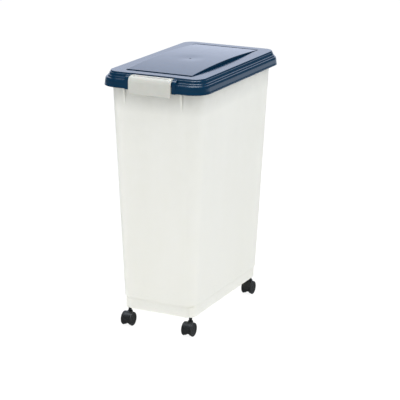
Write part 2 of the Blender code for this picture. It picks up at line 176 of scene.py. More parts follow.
def skin(name, loops, closed=False):
    """A surface through loops of (x, y, z) points, capped at both ends or, if closed, joined into a ring."""
    bm = bmesh.new()
    rows = [[bm.verts.new(Vector(p) * MM) for p in loop] for loop in loops]
    count = len(rows[0])
    pairs = list(zip(rows, rows[1:])) + ([(rows[-1], rows[0])] if closed else [])
    for low, high in pairs:
        for i in range(count):
            j = (i + 1) % count
            bm.faces.new((low[i], low[j], high[j], high[i]))
    if not closed:
        bm.faces.new(list(reversed(rows[0])))
        bm.faces.new(rows[-1])
    return new_object(name, bm)


def even_loop(ring):
    """A rounded rectangle from its half width, half depth, corner radius and height."""
    half_x, half_y, radius, z = ring
    return [(x, y, z) for x, y in outline(half_x, half_y, half_y, radius)]


def grown(half, by, z):
    """A ring that stands evenly outside another, at a height."""
    return (half[0] + by, half[1] + by, half[2] + by, z)


def prism(name, profile, x_from, x_to, round_ends=0.0):
    """A profile of (y, z) points pushed along X, with its end edges rounded."""
    bm = bmesh.new()
    face = bm.faces.new([bm.verts.new((x_from * MM, y * MM, z * MM)) for y, z in profile])
    pushed = bmesh.ops.extrude_face_region(bm, geom=[face])
    moved = [v for v in pushed["geom"] if isinstance(v, bmesh.types.BMVert)]
    bmesh.ops.translate(bm, verts=moved, vec=((x_to - x_from) * MM, 0, 0))
    if round_ends:
        ends = [e for e in bm.edges if abs(e.verts[0].co.x - e.verts[1].co.x) < 1e-7]
        bmesh.ops.bevel(bm, geom=ends, offset=round_ends * MM, segments=3, profile=0.5, affect="EDGES",
                        clamp_overlap=True)
    return new_object(name, bm)


def box(name, low, high, rounding=0.0):
    bm = bmesh.new()
    size = [(b - a) * MM for a, b in zip(low, high)]
    middle = [(a + b) / 2 * MM for a, b in zip(low, high)]
    bmesh.ops.create_cube(bm, size=1.0, matrix=Matrix.Translation(middle) @ Matrix.Diagonal((*size, 1.0)))
    if rounding:
        bmesh.ops.bevel(bm, geom=bm.edges[:], offset=rounding * MM, segments=3, profile=0.5, affect="EDGES")
    return new_object(name, bm)


def lathe(name, profile, segments=48, axis="Z", flip=1, at=(0, 0, 0), closed=False):
    """A turned piece from (radius, height) points. Heights run along the axis, or against it for flip -1."""
    bm = bmesh.new()

    def point(radius, height, angle):
        u, v, h = radius * math.cos(angle), radius * math.sin(angle), height * flip
        p = (u, v, h) if axis == "Z" else (h, u, v)
        return Vector(p) * MM

    rows = []
    for radius, height in profile:
        angles = [2 * math.pi * i / segments for i in range(segments)] if radius else [0.0]
        rows.append([bm.verts.new(point(radius, height, angle)) for angle in angles])
    pairs = list(zip(rows, rows[1:])) + ([(rows[-1], rows[0])] if closed else [])
    for low, high in pairs:
        for i in range(segments):
            j = (i + 1) % segments
            corners = [low[i % len(low)], low[j % len(low)], high[j % len(high)], high[i % len(high)]]
            bm.faces.new(list(dict.fromkeys(corners)))
    obj = new_object(name, bm)
    obj.location = Vector(at) * MM
    return obj


def rod(name, radius, start, end, segments=48):
    """A plain round bar between two points, used to join or cut."""
    start, end = Vector(start) * MM, Vector(end) * MM
    turn = Vector((0, 0, 1)).rotation_difference(end - start).to_matrix().to_4x4()
    bm = bmesh.new()
    bmesh.ops.create_cone(bm, cap_ends=True, segments=segments, radius1=radius * MM, radius2=radius * MM,
                          depth=(end - start).length, matrix=Matrix.Translation((start + end) / 2) @ turn)
    return new_object(name, bm)


def boolean(target, tool, operation):
    """Join the tool to the target, cut it away or keep only what both share, and apply the result at once."""
    modifier = target.modifiers.new("shape", "BOOLEAN")
    modifier.operation, modifier.object, modifier.solver = operation, tool, "EXACT"
    graph = bpy.context.evaluated_depsgraph_get()
    mesh = bpy.data.meshes.new_from_object(target.evaluated_get(graph))
    old = target.data
    target.modifiers.clear()
    target.data = mesh
    bpy.data.meshes.remove(old)
    used = tool.data
    bpy.data.objects.remove(tool)
    bpy.data.meshes.remove(used)


def add(target, tool):
    boolean(target, tool, "UNION")


def cut(target, tool):
    boolean(target, tool, "DIFFERENCE")


def finish_piece(obj, mat, body, node, sharp_deg=SHARP_DEG):
    """Material, body and replaced CAD node of a new piece."""
    obj.data.materials.clear()
    obj.data.materials.append(mat)
    shade(obj.data, sharp_deg)
    weighted = obj.modifiers.new("normals", "WEIGHTED_NORMAL")
    weighted.keep_sharp = True
    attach(obj, body)
    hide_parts(node)


# Node trees ---------------------------------------------------------------------------------------------

class Tree:
    """A short way to write a node tree."""

    def __init__(self, tree):
        self.tree = tree
        self.coords = tree.nodes.new("ShaderNodeTexCoord").outputs

    def link(self, source, target):
        self.tree.links.new(source, target)

    def split(self, vector):
        node = self.tree.nodes.new("ShaderNodeSeparateXYZ")
        self.link(vector, node.inputs["Vector"])
        return node.outputs

    def span(self, value, low, high, to_low=0.0, to_high=1.0, easing="LINEAR"):
        """A value's place between low and high, carried over to between to_low and to_high."""
        node = self.tree.nodes.new("ShaderNodeMapRange")
        node.interpolation_type = easing
        for key, number in zip(("From Min", "From Max", "To Min", "To Max"), (low, high, to_low, to_high)):
            node.inputs[key].default_value = number
        self.link(value, node.inputs["Value"])
        return node.outputs["Result"]

    def blend(self, factor, first, second):
        """From the first colour to the second; each is a tuple or an output."""
        node = self.tree.nodes.new("ShaderNodeMix")
        node.data_type = "RGBA"
        self.link(factor, node.inputs["Factor"])
        for socket, colour in ((node.inputs[6], first), (node.inputs[7], second)):
            if isinstance(colour, tuple):
                socket.default_value = (*colour, 1.0)
            else:
                self.link(colour, socket)
        return node.outputs[2]


class Finish(Tree):
    """A material's node tree, with patterns that keep to the object's own place."""

    def __init__(self, name):
        self.mat = bpy.data.materials.new(name)
        self.mat.use_nodes = True
        super().__init__(self.mat.node_tree)
        self.shader = self.tree.nodes["Principled BSDF"]
        self.place = self.coords["Object"]

    def set(self, **values):
        for key, value in values.items():
            self.shader.inputs[key.replace("_", " ")].default_value = value

    def feed(self, **outputs):
        for key, output in outputs.items():
            self.link(output, self.shader.inputs[key.replace("_", " ")])

    def stretched(self, scale):
        node = self.tree.nodes.new("ShaderNodeMapping")
        node.inputs["Scale"].default_value = scale
        self.link(self.place, node.inputs["Vector"])
        return node.outputs["Vector"]

    def noise(self, scale, detail=3.0, rough=0.5, vector=None):
        node = self.tree.nodes.new("ShaderNodeTexNoise")
        node.inputs["Scale"].default_value = scale
        node.inputs["Detail"].default_value = detail
        node.inputs["Roughness"].default_value = rough
        self.link(vector or self.place, node.inputs["Vector"])
        return node.outputs["Fac"]

    def cell_edges(self, scale, vector):
        node = self.tree.nodes.new("ShaderNodeTexVoronoi")
        node.feature = "DISTANCE_TO_EDGE"
        node.inputs["Scale"].default_value = scale
        self.link(vector, node.inputs["Vector"])
        return node.outputs["Distance"]

    def spread(self, noise, to_low=0.0, to_high=1.0):
        """A noise, most of which lies between 0.3 and 0.7, spread over a range."""
        return self.span(noise, 0.3, 0.7, to_low, to_high)

    def compute(self, operation, first, second):
        node = self.tree.nodes.new("ShaderNodeMath")
        node.operation = operation
        for socket, value in zip(node.inputs, (first, second)):
            if isinstance(value, float):
                socket.default_value = value
            else:
                self.link(value, socket)
        return node.outputs["Value"]

    def bump(self, *layers):
        """Bump layers of (height, strength, depth in metres), each on top of the last."""
        normal = None
        for value, strength, depth in layers:
            node = self.tree.nodes.new("ShaderNodeBump")
            node.inputs["Strength"].default_value = strength
            node.inputs["Distance"].default_value = depth
            self.link(value, node.inputs["Height"])
            if normal:
                self.link(normal, node.inputs["Normal"])
            normal = node.outputs["Normal"]
        self.feed(Normal=normal)


# Materials ----------------------------------------------------------------------------------------------

def pearl_plastic():
    """Pearl white, slightly translucent polypropylene with floor scuffs, and painted shade: darker upwards,
    with a painted shadow band under the lid.
    """
    n = Finish("pearl_pp")
    height = n.split(n.place)["Z"]
    flow = n.span(n.noise(5.0, 4.0, 0.55, n.stretched((1.6, 1.0, 0.35))), 0.32, 0.68)
    cloud = n.noise(38.0, 3.0, 0.5)
    # Painted shade: lighter low on the body and darker high up, as if shaded by the lid above and lit by the
    # floor below.
    lit_low_tone = n.blend(flow, (0.915, 0.91, 0.83), (0.945, 0.94, 0.875))
    shaded_high_tone = n.blend(flow, (0.80, 0.80, 0.745), (0.835, 0.835, 0.785))
    colour = n.blend(n.span(height, 0.10, 0.58), lit_low_tone, shaded_high_tone)
    # Painted shadow: a darker band over the top few centimetres, just under the lid's skirt.
    colour = n.blend(n.span(height, 0.54, 0.60), colour, (0.57, 0.57, 0.54))
    colour = n.blend(n.spread(cloud, 0.0, 0.2), colour, (0.915, 0.915, 0.87))
    near_floor = n.span(height, 0.045, 0.16, 1.0, 0.0)
    scratches = n.span(n.noise(160.0, 5.0, 0.65, n.stretched((0.5, 0.5, 2.2))), 0.56, 0.72, 0.0, 0.35)
    colour = n.blend(n.compute("MULTIPLY", near_floor, scratches), colour, (0.70, 0.70, 0.66))
    n.feed(Base_Color=colour, Roughness=n.spread(cloud, 0.36, 0.46))
    n.set(Subsurface_Weight=0.35, Subsurface_Scale=0.02, IOR=1.49, Specular_IOR_Level=0.5)
    n.set(Subsurface_Radius=(1.0, 0.95, 0.8))
    n.bump((n.noise(22.0, 2.0, 0.4), 0.12, 0.0006), (n.noise(1700.0, 2.0, 0.6), 0.25, 0.00005))
    return n.mat


def navy_plastic():
    """Dark navy gloss moulding: faint orange peel, slight mottling and fine hairline scuffs."""
    n = Finish("navy_pp")
    colour = n.blend(n.spread(n.noise(26.0, 4.0, 0.55)), (0.0012, 0.0205, 0.051), (0.0030, 0.0265, 0.062))
    hairs = n.span(n.cell_edges(85.0, n.stretched((1.0, 0.18, 1.0))), 0.0, 0.006, 0.35, 0.0)
    patches = n.span(n.noise(9.0, 3.0, 0.6), 0.5, 0.66)
    scuffs = n.compute("MULTIPLY", hairs, patches)
    peel = n.spread(n.noise(48.0, 4.0, 0.6), 0.11, 0.17)
    n.feed(Base_Color=n.blend(scuffs, colour, (0.03, 0.062, 0.11)),
           Roughness=n.compute("ADD", peel, n.compute("MULTIPLY", scuffs, 0.25)))
    n.set(IOR=1.5)
    n.bump((n.noise(310.0, 2.0, 0.5), 0.10, 0.00006), (n.noise(2600.0, 2.0, 0.6), 0.12, 0.00002))
    return n.mat


def grey_plastic():
    """Warm light grey satin moulding, slightly worn along its length."""
    n = Finish("grey_pp")
    mottle = n.noise(60.0, 4.0, 0.55)
    colour = n.blend(n.spread(mottle), (0.485, 0.49, 0.465), (0.51, 0.515, 0.49))
    worn = n.span(n.noise(210.0, 5.0, 0.7, n.stretched((0.25, 1.0, 1.0))), 0.58, 0.75, 0.0, 0.25)
    n.feed(Base_Color=n.blend(worn, colour, (0.66, 0.66, 0.63)), Roughness=n.spread(mottle, 0.30, 0.40))
    n.set(IOR=1.49, Subsurface_Weight=0.06, Subsurface_Scale=0.004)
    n.bump((n.noise(1400.0, 2.0, 0.5), 0.15, 0.00004), (n.noise(14.0, 2.0, 0.5), 0.05, 0.0002))
    return n.mat


def black_plastic(name, dark, light, gloss, dust):
    """Black nylon with a fine spark-eroded grain, under patches of grey dust of the given strength."""
    n = Finish(name)
    mottle = n.noise(120.0, 4.0, 0.6)
    dusty = n.span(n.noise(420.0, 5.0, 0.7), 0.55, 0.8, 0.0, dust)
    n.feed(Base_Color=n.blend(dusty, n.blend(n.spread(mottle), dark, light), (0.085, 0.083, 0.08)),
           Roughness=n.spread(mottle, 0.34, 0.48))
    n.set(IOR=1.52, Specular_IOR_Level=gloss)
    n.bump((n.noise(2300.0, 2.0, 0.6), 0.25, 0.00005))
    return n.mat


def zinc():
    """Zinc-plated steel with drawn lines along its length."""
    n = Finish("zinc_steel")
    lines = n.noise(900.0, 4.0, 0.6, n.stretched((0.04, 1.0, 1.0)))
    spangle = n.noise(300.0, 3.0, 0.6)
    n.feed(Base_Color=n.blend(n.spread(spangle), (0.50, 0.50, 0.51), (0.64, 0.64, 0.63)),
           Roughness=n.spread(lines, 0.24, 0.42))
    n.set(Metallic=1.0)
    n.bump((lines, 0.2, 0.00004))
    return n.mat


def seal_rubber():
    """Matt grey rubber."""
    n = Finish("seal_rubber")
    mottle = n.noise(150.0, 4.0, 0.6)
    n.feed(Base_Color=n.blend(n.spread(mottle), (0.30, 0.30, 0.29), (0.38, 0.38, 0.365)),
           Roughness=n.spread(mottle, 0.62, 0.78))
    n.bump((n.noise(1500.0, 2.0, 0.6), 0.3, 0.00006))
    return n.mat


PEARL, NAVY, GREY = pearl_plastic(), navy_plastic(), grey_plastic()
BLACK = black_plastic("black_nylon", (0.011, 0.012, 0.013), (0.018, 0.019, 0.020), gloss=0.22, dust=0.15)
WHEEL = black_plastic("wheel_nylon", (0.019, 0.019, 0.020), (0.030, 0.030, 0.031), gloss=0.3, dust=0.30)
ZINC, RUBBER = zinc(), seal_rubber()


# Bin body -----------------------------------------------------------------------------------------------

def wall_y(z):
    """The outer face of the front or back wall at a height, as a distance from the middle."""
    return SHOULDER[1] + (TOP[1] - SHOULDER[1]) * (z - SHOULDER_Z) / (FLANGE_Z - SHOULDER_Z)


def bin_shell():
    """The tapered shell with its rolled lip: rings from the bottom's outside over the lip to its inside."""
    bottom = -12.0                                  # the flat bottom is capped this far inside the foot
    lip_in = LIP_OUT - LIP_THICK
    path = [
        grown(FOOT, bottom, FOOT_Z), grown(FOOT, 0.0, FOOT_Z), grown(FOOT, 0.0, FOOT_TOP_Z),
        grown(SHOULDER, 0.0, SHOULDER_Z), grown(TOP, 0.0, FLANGE_Z), grown(TOP, lip_in, FLANGE_Z),
        grown(TOP, lip_in, LIP_Z), grown(TOP, LIP_OUT, LIP_Z), grown(TOP, LIP_OUT, RIM_TOP_Z),
        grown(TOP, -WALL, RIM_TOP_Z), grown(SHOULDER, -WALL, SHOULDER_Z + 1.0),
        grown(FOOT, -WALL, FOOT_TOP_Z + 1.0), grown(FOOT, -WALL, FOOT_Z + WALL),
        grown(FOOT, bottom, FOOT_Z + WALL)]
    rounding = (2.6, 2.2, 2.6, 1.6, 0.6, 0.5, 0.5, 1.4, 1.1, 3.0, 2.0, 3.2)
    return skin("bin_shell", [even_loop(ring) for ring in soften(path, rounding)])


def add_fins(body):
    """The two fins that carry the lip at the front."""
    top, front = FLANGE_Z + 1.0, -(TOP[1] + LIP_OUT - 1.0)
    root, foot = -wall_y(FIN_FOOT_Z) + BURY, -wall_y(FIN_FOOT_Z) - 0.2
    profile = [(-wall_y(top) + BURY, top), (front, top), (front, LIP_Z + 1.0), (foot, FIN_FOOT_Z + 0.5),
               (root, FIN_FOOT_Z - 1.0)]
    for side in (-1, 1):
        add(body, prism("fin", profile, side * FIN_X - FIN_HALF, side * FIN_X + FIN_HALF, 1.6))


def add_sockets(body):
    """A bored boss over each caster's stem."""
    radius, top = SOCKET_BOSS_R, SOCKET_BOSS_TOP_Z
    profile = [(0, top), (radius - 0.8, top), (radius - 0.2, top - 0.3), (radius, top - 1.0),
               (radius, FOOT_Z + 1.0), (0, FOOT_Z + 1.0)]
    for corner in CORNERS:
        x, y, _ = JOINTS[f"{corner}_swivel_turn"]
        add(body, lathe("boss", profile, 48, at=(x, y, 0)))
        cut(body, rod("bore", SOCKET_BORE_R, (x, y, FOOT_Z - 2.0), (x, y, SOCKET_BORE_TOP_Z)))


def add_hinge_ears(body):
    """Two ears on each side of each lid knuckle, drilled for the pin."""
    y, z = HINGE_AXIS
    root = wall_y(z) - BURY
    ear = [(root, z + 7.0), (root, z - 17.0)] + arc((y, z), HINGE_KNUCKLE_R, -60, 90, 20)
    for side in (-1, 1):
        x = side * HINGE_X
        for low, high in ((HINGE_EAR_IN, HINGE_EAR_OUT), (-HINGE_EAR_OUT, -HINGE_EAR_IN)):
            add(body, prism("ear", ear, x + low, x + high, 0.5))
        cut(body, rod("hole", PIN_HOLE_R, (x - HINGE_EAR_OUT - 1, y, z), (x + HINGE_EAR_OUT + 1, y, z)))


def bin_body():
    body = bin_shell()
    add_fins(body)
    add_sockets(body)
    add_hinge_ears(body)
    finish_piece(body, PEARL, "bin", "bin_body")


# Lid ----------------------------------------------------------------------------------------------------

def lid_loop(ring, shrink=0.0):
    """The lid's outline at a ring of (side inset, front inset, back inset, height), shrunk by a wall."""
    side, front, back, z = ring
    radius = LID_CORNER_R - side * 1.2 - shrink
    half_x, end_y = LID_HALF_X - shrink, LID_END_Y - shrink
    return [(x, y, z) for x, y in outline(half_x - side, end_y - front, end_y - back, radius)]


def lid_shell():
    """The skirt, the three steps above it and the flat rim, open underneath."""
    top, under = LID_RIM_Z, LID_RIM_Z - WALL
    outer = soften([
        (15.4, 20.6, 17.0, top), (12.9, 18.1, 14.4, top), (11.9, 17.2, 13.4, 628.0),
        (10.6, 15.0, 12.1, 627.2), (8.9, 13.4, 10.4, 621.6), (6.6, 10.6, 8.0, 620.8),
        (5.4, 9.2, 6.8, 617.6), (3.2, 3.4, 3.2, 616.6), (1.6, 1.6, 1.6, 611.0),
        (1.1, 1.1, 1.1, 603.5), (0.0, 0.0, 0.0, 599.2), (0.0, 0.0, 0.0, HEM_Z)],
        (1.3, 0.3, 0.9, 0.8, 0.9, 0.7, 1.1, 2.5, 2.0, 0.8))
    inner = soften([
        (0.0, 0.0, 0.0, HEM_Z), (1.6, 1.6, 1.6, 604.0), (1.6, 1.6, 1.6, 613.6),
        (6.4, 9.6, 7.4, 615.8), (9.2, 15.4, 10.8, 618.6), (11.5, 18.5, 13.0, 626.5),
        (15.4, 22.4, 17.0, under), (19.0, 26.0, 21.0, under)],
        (1.5, 1.5, 1.0, 1.0, 1.5, 1.0))
    return skin("lid_shell", [lid_loop(ring) for ring in outer] + [lid_loop(ring, WALL) for ring in inner])


def panel_loop(side_growth, end_growth, z):
    """The raised panel's outline, grown at its sides and at its ends."""
    half_x, front, back = PANEL
    points = outline(half_x + side_growth, front + end_growth, back + end_growth, 5.0 + side_growth, 6)
    return [(x, y, z) for x, y in points]


def cut_groove(shell):
    """The narrow dark groove round the raised panel, cut into a bed of its own."""
    bed = ((5.4, 8.4, 627.0), (5.4, 8.4, 630.4), (-3.0, -3.0, 630.4), (-3.0, -3.0, 627.0))
    add(shell, skin("groove_bed", [panel_loop(*section) for section in bed], closed=True))
    groove = ((2.2, 5.4, 628.9), (2.4, 5.6, 634.0), (-0.6, -0.6, 634.0), (-0.6, -0.6, 628.9))
    cut(shell, skin("groove", [panel_loop(*section) for section in groove], closed=True))


def vault_z(y):
    """The height of the panel's long arch, before its step and its dish."""
    front, back = -PANEL[1], PANEL[2]
    t = min(max((y - front) / (back - front), 0.0), 1.0)
    return LID_RIM_Z + VAULT_RISE * 4 * t * (1 - t)


def graded(low, high, edge, steps):
    """Places from low to high: at the edge's distances from both ends, and even in between."""
    start, end = low + edge[-1], high - edge[-1]
    middle = [start + (end - start) * i / steps for i in range(1, steps)]
    return [low + e for e in edge] + middle + [high - e for e in reversed(edge)]


def grid_rim(grid):
    """The vertices round a grid, in order."""
    first, last = grid[0], grid[-1]
    return [row[0] for row in grid] + last[1:] + [row[-1] for row in reversed(grid[:-1])] + first[-2:0:-1]


def vault():
    """The raised panel: a fine grid with rolled edges, a step that fades to the back and a shallow dish."""
    half_x, front, back = PANEL
    side_round, end_round, edge_drop = 1.8, 0.4, 0.55
    dish_y, dish_depth, dish_x_spread, dish_y_spread = -16.0, 1.1, 26.0, 30.0
    base_z = 628.5

    def fall(distance, radius):
        """How far a quarter round has fallen at a distance from its edge."""
        return 0.0 if distance >= radius else radius - math.sqrt(radius * radius - (radius - distance) ** 2)

    def top_z(x, y):
        drop = fall(half_x - abs(x), side_round) + fall(min(y + front, back - y), end_round)
        dish = math.exp(-((x / dish_x_spread) ** 2 + ((y - dish_y) / dish_y_spread) ** 2)) * dish_depth
        return vault_z(y) - dish + VAULT_STEP * (back - y) / (front + back) - drop * edge_drop

    bm = bmesh.new()
    xs = graded(-half_x, half_x, (0.0, 0.25, 0.6, 1.1, 1.8, 2.6), 44)
    ys = graded(-front, back, (0.0, 0.3, 0.8, 1.6), 90)
    top = [[bm.verts.new(Vector((x, y, top_z(x, y))) * MM) for y in ys] for x in xs]
    base = [[bm.verts.new(Vector((x, y, base_z)) * MM) for y in ys] for x in xs]
    for grid in (top, base):
        for near, far in zip(grid, grid[1:]):
            for j in range(len(ys) - 1):
                bm.faces.new((near[j], far[j], far[j + 1], near[j + 1]))
    rim_top, rim_low = grid_rim(top), grid_rim(base)
    for i in range(len(rim_top)):
        j = (i + 1) % len(rim_top)
        bm.faces.new((rim_low[i], rim_low[j], rim_top[j], rim_top[i]))
    return new_object("vault", bm)


def hollow_vault(shell):
    """The vault's underside follows its arch one wall below, and the gate leaves a round mark on its top."""
    half_x, front, back = PANEL
    end, steps, foot_z = 7.2, 40, 625.5
    ys = [-front + end + (front + back - 2 * end) * i / steps for i in range(steps + 1)]
    profile = [(-front + end, foot_z)] + [(y, vault_z(y) - WALL - 0.5) for y in ys] + [(back - end, foot_z)]
    cut(shell, prism("hollow", profile, -half_x + WALL, half_x - WALL))
    gate_y = -18.0
    gate_z = vault_z(gate_y) - 0.6
    cut(shell, rod("gate_mark", 2.8, (0, gate_y, gate_z - 0.8), (0, gate_y, gate_z + 6.0), 32))


def seal_ring(name, width, low, high):
    """A square-cut ring that follows the seal."""
    sections = ((width / 2, low), (width / 2, high), (-width / 2, high), (-width / 2, low))
    return skin(name, [even_loop(grown(SEAL, growth, z)) for growth, z in sections], closed=True)


def cut_notch(shell):
    """The pocket that the latch pivots in: a floor, a back wall and an ear at each side."""
    reach = NOTCH_X + NOTCH_EAR_WIDTH
    front, back, foot_z = NOTCH_EAR_FRONT_Y, NOTCH_BACK_Y, NOTCH_EAR_FOOT_Z
    ear_back, ear_root_z = -221.2, 612.5
    outside_y, below_z, above_z = -240.0, 590.0, 645.0      # past the lid on every side
    add(shell, box("notch_floor", (-reach, NOTCH_FRONT_Y, 611.0), (reach, back + 3.0, 618.0)))
    add(shell, box("notch_wall", (-reach, back, 614.0), (reach, back + WALL, 630.1)))
    ear = [(back + 1.0, ear_root_z), (back + 1.0, 629.5)]
    ear += arc((front + 14.0, 615.5), 14.0, 90, 180, 18, radius_z=13.0)
    ear += [(front, foot_z + 1.0), (front + 1.0, foot_z), (ear_back - 1.0, foot_z), (ear_back, foot_z + 1.0),
            (ear_back, ear_root_z)]
    for side in (-1, 1):
        low, high = sorted((side * (NOTCH_X - 1.0), side * reach))
        add(shell, prism("ear", ear, low, high, 0.9))
    cut(shell, box("notch_front", (-NOTCH_X, outside_y, below_z), (NOTCH_X, NOTCH_FRONT_Y, above_z)))
    cut(shell, box("notch_pocket", (-NOTCH_X, outside_y, NOTCH_FLOOR_Z), (NOTCH_X, back, above_z)))
    cut(shell, box("notch_back_gap", (-NOTCH_X, -222.0, below_z), (NOTCH_X, -221.0, 610.0)))


def add_knuckles(shell):
    """The lid's two hinge knuckles, each on a web and drilled for the pin."""
    y, z = HINGE_AXIS
    half = HINGE_KNUCKLE_HALF
    for side in (-1, 1):
        x = side * HINGE_X
        add(shell, box("web", (x - half, y + 0.6, z + 1.0), (x + half, LID_END_Y - 0.4, 601.0)))
        add(shell, prism("knuckle", arc((y, z), HINGE_KNUCKLE_R, 0, 352.5, 47), x - half, x + half, 0.5))
        cut(shell, rod("hole", PIN_HOLE_R, (x - 10, y, z), (x + 10, y, z)))


def drill_latch_holes(shell):
    for side in (-1, 1):
        inner, outer = side * (NOTCH_X - 2.0), side * (NOTCH_X + 5.5)
        cut(shell, rod("latch_hole", PIN_HOLE_R, (inner, *LATCH_PIVOT), (outer, *LATCH_PIVOT), 40))


def lid():
    shell = lid_shell()
    cut_groove(shell)
    add(shell, vault())
    hollow_vault(shell)
    add(shell, seal_ring("land", 7.8, 611.0, 617.2))
    cut_notch(shell)
    add_knuckles(shell)
    cut(shell, seal_ring("seal_groove", 4.6, 610.0, 613.4))
    drill_latch_holes(shell)
    finish_piece(shell, NAVY, "lid", "lid", sharp_deg=CRISP_DEG)


def lid_seal():
    """The seal's section in (growth, height) points, with two lips along its underside."""
    bead = [(-2.0, 613.1), (-2.0, 610.9), (-1.7, 610.2), (-0.9, 609.8), (0.0, 609.85), (0.9, 609.8),
            (1.7, 610.2), (2.0, 610.9), (2.0, 613.1)]
    seal = skin("lid_seal", [even_loop(grown(SEAL, growth, z)) for growth, z in bead], closed=True)
    finish_piece(seal, RUBBER, "lid", "lid_gasket")


# Latch --------------------------------------------------------------------------------------------------

def latch_corners():
    """What the latch keeps of its blank, seen from the front: round upper corners and cut lower ones."""
    def loop(y):
        right = [(LATCH_X - 2.6, LATCH_FOOT_Z), (LATCH_X, LATCH_FOOT_Z + 2.6)]
        right += arc((LATCH_X - 7.0, LATCH_PIVOT[1]), 7.0, 0, 90, 16)
        left = [(-x, z) for x, z in reversed(right)]
        return [(x, y, z) for x, z in right + left]
    return skin("latch_corners", [loop(LATCH_FRONT_Y - 10.0), loop(LATCH_FRONT_Y + 30.0)])


def latch_panel():
    """The curved plate that bends over the pivot, with a rolled lower edge."""
    y, z = LATCH_PIVOT
    front, foot, shoulder = LATCH_FRONT_Y, LATCH_FOOT_Z, LATCH_SHOULDER_Z
    inside, top = front + LATCH_PLATE, z + LATCH_KNUCKLE_R
    profile = arc((y, z), LATCH_KNUCKLE_R, -90, 90, 24)
    profile += arc((y, shoulder), y - front, 90, 180, 24, radius_z=top - shoulder)[1:]
    profile += [(front, foot + 2.0), (front + 0.3, foot + 0.9), (front + 0.9, foot + 0.2),
                (front + 1.5, foot), (front + 2.1, foot + 0.2), (front + 2.5, foot + 0.9),
                (inside, foot + 2.0), (inside, shoulder - 2.0)]
    profile += arc((inside + 4.0, shoulder - 2.0), 4.0, 180, 90, 8)[1:]
    panel = prism("latch_panel", profile, -LATCH_X, LATCH_X, 0.9)
    boolean(panel, latch_corners(), "INTERSECT")
    return panel


def add_latch_inside(panel):
    """The hook that snaps under the bin's lip, and the five ribs above it."""
    inside = LATCH_FRONT_Y + LATCH_PLATE
    hook = [(inside - 1.0, 593.8), (inside, 593.8), (-219.2, 597.5), (-218.6, 598.0), (-218.4, 598.4),
            (-218.8, 599.3), (inside + 0.6, 599.3), (inside, 601.3), (inside - 1.0, 601.3)]
    add(panel, prism("hook", hook, -44.0, 44.0))
    rib = [(inside - 1.0, 602.5), (inside - 1.0, 613.8), (-224.6, 615.9), (-225.4, 613.0),
           (inside + 0.2, 602.5)]
    for x in (-48.0, -24.0, 0.0, 24.0, 48.0):
        add(panel, prism("rib", rib, x - 0.8, x + 0.8))


def latch():
    panel = latch_panel()
    add_latch_inside(panel)
    for side in (-1, 1):
        inner, outer = side * (LATCH_X - 5.0), side * (NOTCH_X + 4.8)
        add(panel, rod("stub", PIN_R, (inner, *LATCH_PIVOT), (outer, *LATCH_PIVOT)))
    slot_outline = outline(45.0, 1.5, 1.5, 1.4, 6)
    slot = skin("slot", [[(x, y, depth) for x, y in slot_outline] for depth in (-0.7, 4.0)])
    slot_place = Matrix.Translation(Vector((0, -221.2, 627.9)) * MM)
    slot.data.transform(slot_place @ Matrix.Rotation(math.radians(24), 4, "X"))
    cut(panel, slot)
    finish_piece(panel, GREY, "latch", "latch", sharp_deg=CRISP_DEG)


# Hinge pins and casters ---------------------------------------------------------------------------------

def hinge_pins():
    head = [(0, 18.5), (1.6, 18.45), (2.8, 18.1), (3.4, 17.6), (3.55, 17.35), (PIN_R, 17.3)]
    tail = [(PIN_R, -16.9), (PIN_R - 0.4, -17.3), (0, -17.3)]
    for name, side in SIDES:
        at = (side * HINGE_X, *HINGE_AXIS)
        pin = lathe(f"hinge_pin_turned_{name}", head + tail, 40, "X", side, at)
        finish_piece(pin, ZINC, "bin", f"hinge_pin_{name}")


def caster_hood(name, x, y, axle_y, axle_z):
    """The hood over both wheels, the web between them, its spine and the boss that holds the stem."""
    def placed(profile):
        return [(py + axle_y, pz + axle_z) for py, pz in profile]

    shell = arc((0, 0), HOOD_R, -32, 205, 44) + arc((0, 0), HOOD_IN_R, 205, -32, 44)
    hood = prism(name, placed(shell), x - HOOD_HALF_X, x + HOOD_HALF_X, 0.35)
    web = arc((0, 0), HOOD_R - 0.5, -30, 203, 40) + arc((0, 0), 11.5, 222, 310, 12)
    low, high = x - HOOD_WEB_HALF_X, x + HOOD_WEB_HALF_X
    add(hood, prism("web", placed(web), low, high))
    add(hood, box("spine", (low, y - 5.0, 23.0), (high, y + 5.4, 33.4), 0.4))
    boss = [(0, 35.4), (5.9, 35.4), (6.25, 35.25), (6.4, 34.9), (6.4, 33.4), (5.2, 32.8), (5.2, 31.0),
            (0, 31.0)]
    add(hood, lathe("boss", boss, 40, at=(x, y, 0)))
    above = (x, y, 40.0)
    cut(hood, rod("seat", STEM_SEAT_R, (x, y, 32.0), above, 40))
    cut(hood, rod("bore", STEM_BORE_R, (x, y, STEM_BORE_Z), above, 40))
    cut(hood, rod("axle_hole", AXLE_HOLE_R, (x - 6.0, axle_y, axle_z), (x + 6.0, axle_y, axle_z), 32))
    return hood


def wheel_profile():
    """(radius, height) from the hub's outer face, over the rim and tread, to the inner face and the hub."""
    face = [(0, 7.0), (3.6, 7.0), (4.0, 6.8), (4.2, 6.5), (4.6, 6.4), (11.6, 6.4), (12.2, 6.55), (12.6, 6.9),
            (13.0, 7.5), (13.5, 7.9), (14.1, 8.0), (15.6, 8.0), (16.4, 7.7), (16.85, 7.2), (17.0, 6.6)]
    tread = [(17.0, 5.5), (16.7, 5.2), (15.8, 5.0), (15.6, 4.8), (15.6, 1.0), (15.3, 0.3), (14.7, 0.0)]
    inner = [(2.3, 0.0), (2.3, 6.1), (0, 6.1)]
    return face + tread + inner


